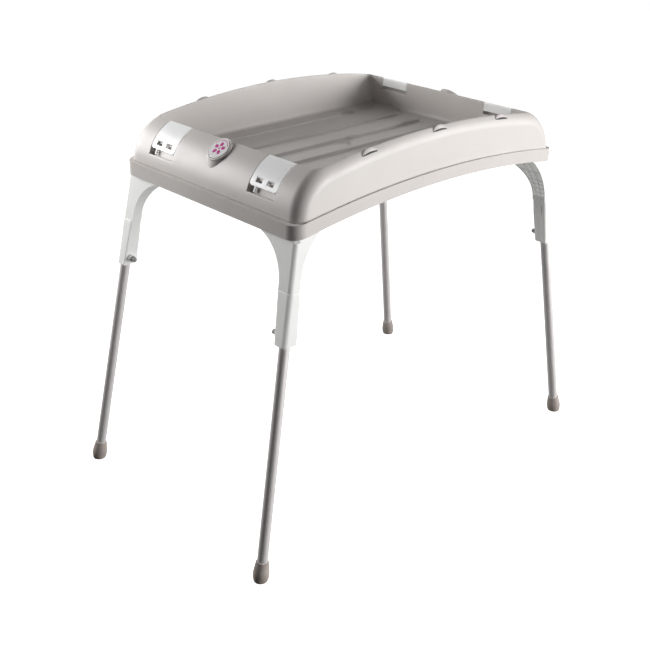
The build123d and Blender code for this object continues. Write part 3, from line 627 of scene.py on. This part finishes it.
def make_badge_seat(end):
    centre, across, down, outward = badge_frame(end)
    top = circle(centre, across, down, SEAT_R, -SEAT_LIP_R * outward)
    foot_x, foot_z = SEAT_FOOT_MIDDLE
    foot_down = np.array([end * SEAT_FOOT_HALF[0], 0, 0])
    foot = circle((end * foot_x, 0, foot_z), across * SEAT_FOOT_HALF[1], foot_down, 1)

    def depth(share):
        point = top + (foot - top) * np.asarray(share)[:, None]
        return BOLSTER_R - SEAT_BURIED - np.hypot(np.abs(point[:, 0]) - BOLSTER_X, point[:, 2] - BOLSTER_Z)
    lowest = bisect(depth, np.zeros(BADGE_POINTS), np.ones(BADGE_POINTS))
    rows = [top + (foot - top) * (lowest * share)[:, None] for share in np.linspace(1, 0, 9)]
    for turn in np.linspace(0, math.pi / 2, 5)[1:]:
        rows.append(circle(centre, across, down, SEAT_R - SEAT_LIP_R * (1 - math.cos(turn)),
                           -SEAT_LIP_R * (1 - math.sin(turn)) * outward))
    for radius, sink in ((SEAT_GROOVE_R + 0.5, 0), (SEAT_GROOVE_R, 0.4),
                         (SEAT_GROOVE_R, SEAT_SINK), (SEAT_SUNK_R, SEAT_SINK)):
        rows.append(circle(centre, across, down, radius, -sink * outward))
    mesh = bmesh.new()
    mesh.faces.new(add_grid(mesh, rows, closed=True)[-1])
    new_piece(f"badge_seat_{END_NAMES[end]}", mesh, "table", TRAY, 50)


def make_emblem(end):
    """Five petals, a heart and a thin arc, raised a little on the badge's face."""
    centre, across, down, outward = badge_frame(end)
    face = centre + outward * EMBLEM_LIFT
    mesh = bmesh.new()

    def dome(middle, long_axis, wide_axis, height):
        rows = []
        for share in np.linspace(1, 0.12, 6):
            turns = np.linspace(0, 2 * math.pi, 40, endpoint=False)[:, None]
            ring = middle + share * (np.cos(turns) * long_axis + np.sin(turns) * wide_axis)
            rows.append(face + ring + outward * height * (math.sqrt(1 - share ** 2) - 0.1))
        mesh.faces.new(add_grid(mesh, rows, closed=True)[-1])
    for k in range(PETALS):
        turn = 2 * math.pi * k / PETALS
        out = math.sin(turn) * across - math.cos(turn) * down
        side = math.cos(turn) * across + math.sin(turn) * down
        dome(out * PETAL_MIDDLE, out * PETAL_LONG, side * PETAL_WIDE, PETAL_HEIGHT)
    dome(np.zeros(3), across * HEART_R, down * HEART_R, HEART_HEIGHT)
    (outer_r, inner_r), (low, high) = ARC_RADII, ARC_HEIGHTS
    rows = []
    for turn in np.linspace(*ARC_TURNS, 40):
        out = math.cos(turn) * across + math.sin(turn) * down
        rows.append([face + out * outer_r + outward * low, face + out * outer_r + outward * high,
                     face + out * inner_r + outward * high, face + out * inner_r + outward * low])
    spots = add_grid(mesh, rows, closed=True)
    mesh.faces.new(spots[0])
    mesh.faces.new(spots[-1])
    new_piece(f"emblem_{END_NAMES[end]}", mesh, "table", INK, 50)


# ------------------------------------------------------------------ strap hoods
def rim_height(x, y):
    """Height of the tub's outer form above the points (x, y)."""
    low, high = np.full(np.shape(x), FLOOR_Z), np.full(np.shape(x), BASIN_RIM_Z + 60)
    return bisect(lambda z: outside(x, y, z), low, high)


def make_hood(x_middle, side):
    """A thin half-dome on the rim, with a low mouth towards the outside."""
    across, rise = np.meshgrid(np.linspace(-1, 1, 41), np.linspace(0, 1, 17))
    bulge = np.clip(1 - across ** 2, 0, 1)
    back, mouth = HOOD_Y
    x = x_middle + HOOD_HALF * across * (HOOD_BACK_SHARE + (1 - HOOD_BACK_SHARE) * rise ** 0.5)
    y = back + (mouth - back) * (rise + 0.25 * across ** 2 * (1 - rise) - 0.1 * across ** 2 * rise)
    swell = np.sin(math.pi / 2 * np.minimum(1, rise / 0.6)) * (1 - HOOD_DROOP * smoothstep(0.6, 1, rise))
    surface = rim_height(x, y)
    height = HOOD_HEIGHT * bulge ** HOOD_ROUND * swell
    top = height - HOOD_SUNK
    underside = np.minimum(top, np.maximum(height - HOOD_WALL, -1.0)) - 0.05
    mesh = bmesh.new()
    layers = [add_grid(mesh, np.stack([x, side * y, surface + lift], axis=2)) for lift in (top, underside)]
    close_layers(mesh, *layers)
    hood = new_piece(f"hood_{x_middle:.0f}_{SIDE_NAMES[side]}", mesh, "table", TRAY, 45)
    soften(hood, 0.3)


def make_painted_hood_shade(x_middle, side):
    """A near-black block just behind a hood's mouth, standing in for the shade inside it: painted shade."""
    across = np.linspace(-SLOT_HALF_SHARE, SLOT_HALF_SHARE, SLOT_POINTS)
    arched = HOOD_HEIGHT * (1 - HOOD_DROOP) * (1 - across ** 2) ** HOOD_ROUND
    x = x_middle + HOOD_HALF * across
    mesh = bmesh.new()
    layers = []
    for behind in SLOT_Y:
        y = np.full(SLOT_POINTS, HOOD_Y[1] - behind)
        foot = rim_height(x, y)
        top = foot + np.maximum(arched - HOOD_WALL * 0.8, 0.25)
        layers.append(add_grid(mesh, [np.stack([x, side * y, z], axis=1) for z in (foot - 0.4, top)]))
    close_layers(mesh, *layers)
    new_piece(f"slot_{x_middle:.0f}_{SIDE_NAMES[side]}", mesh, "table", SLOT_SHADE)


# ------------------------------------------------------------------ latches
def at_latch(end, middle_y):
    """Moves a point made for a latch of the left end, on y = 0, to its own place."""
    def place(x, y, z):
        return np.array((x, middle_y + y, z) if end < 0 else (-x, middle_y - y, z))
    return place


def sector_block(mesh, radii, angles, ys, place, steps=6):
    """A block that follows the bolster's round, between two radii, two angles in degrees and two y."""
    corners = [(radii[0], ys[0]), (radii[1], ys[0]), (radii[1], ys[1]), (radii[0], ys[1])]
    rows = []
    for angle in np.linspace(*np.radians(angles), steps + 1):
        points = [(on_round(radius, angle), y) for radius, y in corners]
        rows.append([place(x, y, z) for (x, z), y in points])
    spots = add_grid(mesh, rows, closed=True)
    mesh.faces.new(spots[0])
    mesh.faces.new(spots[-1])


def cheek(mesh, outline, hole, ys, place):
    """Flat piece in XZ with one hole, between two y."""
    layers = []
    for y in ys:
        loops = [[mesh.verts.new(place(x, y, z) * MM) for x, z in loop] for loop in (outline, hole)]
        edges = [mesh.edges.new((a, b)) for loop in loops for a, b in zip(loop, loop[1:] + loop[:1])]
        bmesh.ops.triangle_fill(mesh, edges=edges, use_beauty=True)
        layers.append(loops)
    for low, high in zip(*layers):
        for k in range(len(low)):
            following = (k + 1) % len(low)
            mesh.faces.new([low[k], low[following], high[following], high[k]])


def latch_section():
    """Rows of (outer, inner) points in XZ from the lip over the rim to the foot of the inner leg."""
    rim, lines = np.array((-RIM_X, RIM_Z)), []
    for radius, high, count, control, end, foot in zip(
            (BOLSTER_R, BOLSTER_R - LATCH_WALL), PLATE_HIGH, PLATE_POINTS, *LATCH_TURN):
        line = [np.array(on_round(radius, a)) for a in np.linspace(*np.radians((PLATE_LOW, high)), count)]
        line += list(bezier(line[-1], rim + control, rim + end, np.linspace(0, 1, 12)[1:]))
        line.append((foot - RIM_X, LATCH_LEG_Z))
        lines.append(np.array([(x, 0, z) for x, z in line]))
    return lines


def ring(middle, radius, turns):
    """Points in XZ on a circle."""
    return [(middle[0] + radius * math.cos(turn), middle[1] + radius * math.sin(turn)) for turn in turns]


def make_latch(name, end, middle_y):
    place = at_latch(end, middle_y)
    lines = latch_section()
    length, inner_length = [np.linalg.norm(np.diff(line, axis=0), axis=1).sum() for line in lines]
    window_low = BOLSTER_R * math.radians(WINDOW_ANGLE - PLATE_LOW) - WINDOW_SIZE[1] / 2
    window_high = window_low + WINDOW_SIZE[1]
    inner_side, outer_side = (WINDOW_OFFSET + k * WINDOW_SIZE[0] / 2 for k in (-1, 1))
    half = LATCH_WIDTH / 2
    ys = [0, 3, inner_side, *np.linspace(inner_side, outer_side, 7)[1:], 28.5, half - LIP_CORNER_R]
    ys += [half - LIP_CORNER_R * (1 - math.sin(turn)) for turn in np.radians((15, 30, 45, 60, 75, 90))]
    columns = [-y for y in reversed(ys[1:])] + ys
    reaches = [0, 0.8, 1.8, 3.2, 5, window_low, *np.linspace(window_low, window_high, 5)[1:]]
    reaches += list(np.linspace(window_high, length, 34)[1:])
    mesh = bmesh.new()
    layers = []
    for line, full in zip(lines, (length, inner_length)):
        layer = []
        for reach in reaches:
            row = []
            for y in columns:
                curve = max(0.0, abs(y) - half + LIP_CORNER_R)
                cut = LIP_CORNER_R - math.sqrt(LIP_CORNER_R ** 2 - min(curve, LIP_CORNER_R) ** 2)
                moved = cut + reach * (1 - cut / window_low) if reach < window_low else reach
                x, _, z = along_path(line, [moved * full / length])[0]
                if full != length:
                    toward = np.array([-BOLSTER_X - x, BOLSTER_Z - z])
                    toward /= np.linalg.norm(toward)
                    x, z = np.array([x, z]) + toward * LIP_EXTRA * math.exp(-((reach / LIP_REACH) ** 2))
                row.append(mesh.verts.new(place(x, y, z) * MM))
            layer.append(row)
        layers.append(layer)
    open_rows = {k for k, reach in enumerate(reaches[:-1]) if window_low - 0.01 < reach < window_high - 0.01}
    open_columns = {k for k, y in enumerate(columns[:-1])
                    if inner_side - 0.01 < abs(y + columns[k + 1]) / 2 < outer_side + 0.01}
    for layer in layers:
        for row in range(len(reaches) - 1):
            for k in range(len(columns) - 1):
                if row not in open_rows or k not in open_columns:
                    mesh.faces.new([layer[row][k], layer[row][k + 1], layer[row + 1][k + 1], layer[row + 1][k]])
    close_layers(mesh, *layers)
    pin = (-PIN_X, PIN_Z)
    outline = ring(pin, KNUCKLE_R, np.linspace(0, -math.pi, 17))
    outline += [on_round(BOLSTER_R - LATCH_WALL + 0.4, math.radians(58)),
                (-PIN_X + 2, RIM_Z - 4.5), (-PIN_X + KNUCKLE_R, PIN_Z + 6)]
    hole = ring(pin, PIN_HOLE_R, np.linspace(0, 2 * math.pi, 24, endpoint=False))
    for y in (-CHEEK_Y, CHEEK_Y):
        cheek(mesh, outline, hole, (y - CHEEK_HALF, y + CHEEK_HALF), place)
    radii = [BOLSTER_R - LATCH_WALL + step for step in RIB_SPAN]
    for y in LIP_RIBS:
        angles = [PLATE_LOW + step for step in LIP_RIB_ANGLES]
        sector_block(mesh, radii, angles, (y - LIP_RIB_HALF, y + LIP_RIB_HALF), place)
    sector_block(mesh, radii, TONGUE_ANGLES, TONGUE_YS, place)
    piece = new_piece(f"{name}_shell", mesh, name, LATCH_WHITE, 40)
    soften(piece, 0.45, 3, 35)
    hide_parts(name)


def make_catches(end, middle_y):
    """Two hooks on the recess floor that stand up into the latch's windows."""
    place = at_latch(end, middle_y)
    mesh = bmesh.new()
    for side in (-1, 1):
        ys = (side * WINDOW_OFFSET - CATCH_HALF, side * WINDOW_OFFSET + CATCH_HALF)
        radii = (BOLSTER_R - RECESS_DEPTH - 1, BOLSTER_R - CATCH_TOP)
        sector_block(mesh, radii, (WINDOW_ANGLE, WINDOW_ANGLE + CATCH_ANGLE), ys, place)
    piece = new_piece(f"catches_{END_NAMES[end]}_{middle_y:.0f}", mesh, "table", TRAY, 40)
    soften(piece, 0.7, 3)


# ------------------------------------------------------------------ bracket sleeves
def between(z, low, high):
    """Value at z on the line through two (z, value) points."""
    return low[1] + (high[1] - low[1]) * (z - low[0]) / (high[0] - low[0])


def sleeve_line(z, proud):
    """Outline of a sleeve's two outer faces at height z, standing proud of the bracket."""
    outer_x, outer_y = (between(z, *line) + proud for line in SLEEVE_OUTER)
    inner_x, inner_y = (between(z, *line) + SLEEVE_MARGIN for line in SLEEVE_INNER)
    radius = SLEEVE_CORNER_R + proud
    points = [(inner_x + (outer_x - radius - inner_x) * k / 6, outer_y) for k in range(6)]
    for turn in np.linspace(math.pi / 2, 0, 11):
        points.append((outer_x - radius + radius * math.cos(turn), outer_y - radius + radius * math.sin(turn)))
    points += [(outer_x, outer_y - radius + (inner_y - outer_y + radius) * k / 6) for k in range(1, 7)]
    return points


def make_sleeve(end, side):
    """The stouter lower stretch of a bracket, where the tube's socket is."""
    low, high = SLEEVE_SPAN
    steps = [(z, SLEEVE_PROUD) for z in np.linspace(low, high - SLEEVE_ROLL, SLEEVE_ROWS)]
    steps += [(high - below, proud) for below, proud in SLEEVE_TOP]
    mesh = bmesh.new()
    layers = []
    for depth in (0, SLEEVE_DEPTH):
        rows = [[(end * x, side * y, z) for x, y in sleeve_line(z, proud - depth)] for z, proud in steps]
        layers.append(add_grid(mesh, rows))
    close_layers(mesh, *layers)
    piece = new_piece(f"sleeve_{END_NAMES[end]}_{SIDE_NAMES[side]}", mesh, "table", WHITE, 40)
    soften(piece, 0.4)


# ------------------------------------------------------------------ finishes of the frame's own pieces
FINISHES = {                                      # start of a node's name: material, bevel, steps
    "skirt_frame": (SKIRT, 2.4, 3),
    "leg_bracket": (WHITE, 0.9, 3),
    "foot": (RUBBER, 1.2, 3),
    "lock_knob": (KNOB, 0.6, 2),
    "lock_spring": (SPRING_STEEL, 0, 0),
    "latch_pin": (SCREW_STEEL, 0.3, 2),
    "badge": (LABEL, 0.5, 2),
    "frame_screws": (SCREW_STEEL, 0.15, 2),
    "bracket_screws": (SCREW_STEEL, 0.15, 2),
}


def finish_nodes():
    for name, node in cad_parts.items():
        if name.startswith("leg_tube"):
            corner = np.sign(box_mm(name)[0] + box_mm(name)[1])[:2]
            axis = (*corner * LEG_SPLAY, LEG_DROP)
            material, width, steps = drawn_aluminium(name.replace("_", " "), axis), 0.3, 2
        else:
            start = next((key for key in FINISHES if name.startswith(key)), None)
            if start is None:
                continue
            material, width, steps = FINISHES[start]
        node.data.materials.clear()
        node.data.materials.append(material)
        if width:
            soften(node, width, steps)


# ------------------------------------------------------------------ floor, light, camera
TO_PHOTOGRAPHER = (-0.69, -0.72, 0)
CAMERA_PLACE = (-1.5641, -1.5540, 1.3839)         # solved from the photograph, as are the next three
CAMERA_TURNS = (46.475, 25.42, 1.114)             # yaw, pitch and roll in degrees
CAMERA_SENSOR, CAMERA_LENS = 36.0, 56.6
CAMERA_SHIFT = (0.01695, -0.02183)
LIGHTS = {                                        # place, aim, size, power
    "key": ((2.6, -2.6, 1.5), (0.1, -0.1, 0.7), (2.4, 2.0), 82),
    "front": ((1.2, -3.4, 0.9), (0.1, -0.1, 0.7), (2.4, 1.6), 102),
    "side": ((-1.0, 1.28, 1.16), (-0.42, 0.12, 0.8), (0.9, 0.8), 28),
    "back": ((1.5, 2.5, 2.5), (0, 0, 0.7), (2.4, 2.4), 9),
}


def add_floor():
    mesh = bmesh.new()
    bmesh.ops.create_grid(mesh, x_segments=2, y_segments=2, size=20.0)
    data = bpy.data.meshes.new("floor")
    mesh.to_mesh(data)
    mesh.free()
    graph = Graph("studio floor", Emission_Color=(1, 1, 1, 1), Emission_Strength=0.85)
    cloud = graph.noise(1.5, 3.0)
    graph.join("Base Color", graph.mixed(graph.spread(cloud, 0, 1), tone((0.86,) * 3), tone((0.88,) * 3)))
    graph.join("Roughness", graph.spread(graph.noise(30.0, 3.0), 0.75, 0.85))
    data.materials.append(graph.material)
    floor = bpy.data.objects.new("floor", data)
    bpy.context.scene.collection.objects.link(floor)
    floor.visible_diffuse = floor.visible_glossy = False


def add_light(name, place, aim, size, power):
    data = bpy.data.lights.new(name, "AREA")
    data.shape, data.size, data.size_y, data.energy = "RECTANGLE", *size, power
    light = bpy.data.objects.new(name, data)
    light.location = place
    light.rotation_euler = (Vector(aim) - Vector(place)).to_track_quat("-Z", "Y").to_euler()
    light.visible_camera = False
    bpy.context.scene.collection.objects.link(light)


def add_world(dark, bright):
    """Surroundings that are dark on the side the photographer stands on and bright everywhere else."""
    world = bpy.data.worlds.new("studio")
    world.use_nodes = True
    tree = world.node_tree
    tree.nodes["Background"].inputs["Color"].default_value = (1, 1, 1, 1)
    place = tree.nodes.new("ShaderNodeTexCoord").outputs["Generated"]
    toward = tree.nodes.new("ShaderNodeVectorMath")
    toward.operation = "DOT_PRODUCT"
    tree.links.new(place, toward.inputs[0])
    toward.inputs[1].default_value = TO_PHOTOGRAPHER
    shade = tree.nodes.new("ShaderNodeMapRange")
    shade.interpolation_type = "SMOOTHSTEP"
    tree.links.new(toward.outputs["Value"], shade.inputs["Value"])
    for socket, value in {"From Min": -0.45, "From Max": 0.55, "To Min": bright, "To Max": dark}.items():
        shade.inputs[socket].default_value = value
    tree.links.new(shade.outputs["Result"], tree.nodes["Background"].inputs["Strength"])
    bpy.context.scene.world = world


def add_camera():
    yaw, pitch, roll = np.radians(CAMERA_TURNS)
    right = Vector((math.sin(yaw), -math.cos(yaw), 0))
    forward = Vector((math.cos(yaw) * math.cos(pitch), math.sin(yaw) * math.cos(pitch), -math.sin(pitch)))
    up = right.cross(forward)
    data = bpy.data.cameras.new("camera")
    data.sensor_width, data.lens = CAMERA_SENSOR, CAMERA_LENS
    data.shift_x, data.shift_y = CAMERA_SHIFT
    data.clip_end = 100.0
    camera = bpy.data.objects.new("camera", data)
    turned_right = right * math.cos(roll) + up * math.sin(roll)
    turned_up = up * math.cos(roll) - right * math.sin(roll)
    matrix = Matrix((turned_right, turned_up, -forward)).transposed().to_4x4()
    matrix.translation = CAMERA_PLACE
    camera.matrix_world = matrix
    bpy.context.scene.collection.objects.link(camera)
    bpy.context.scene.camera = camera


make_tub()
for end in (-1, 1):
    make_badge_seat(end)
    make_emblem(end)
    for side in (-1, 1):
        make_sleeve(end, side)
        make_latch(f"latch_{END_NAMES[end]}_{SIDE_NAMES[side]}", end, side * LATCH_Y)
        make_catches(end, side * LATCH_Y)
for side in (-1, 1):
    for x in HOOD_XS:
        make_hood(x, side)
        make_painted_hood_shade(x, side)
finish_nodes()
add_floor()
for name, settings in LIGHTS.items():
    add_light(name, *settings)
add_world(0.02, 0.3)
bpy.context.scene.view_settings.view_transform = "Standard"
add_camera()
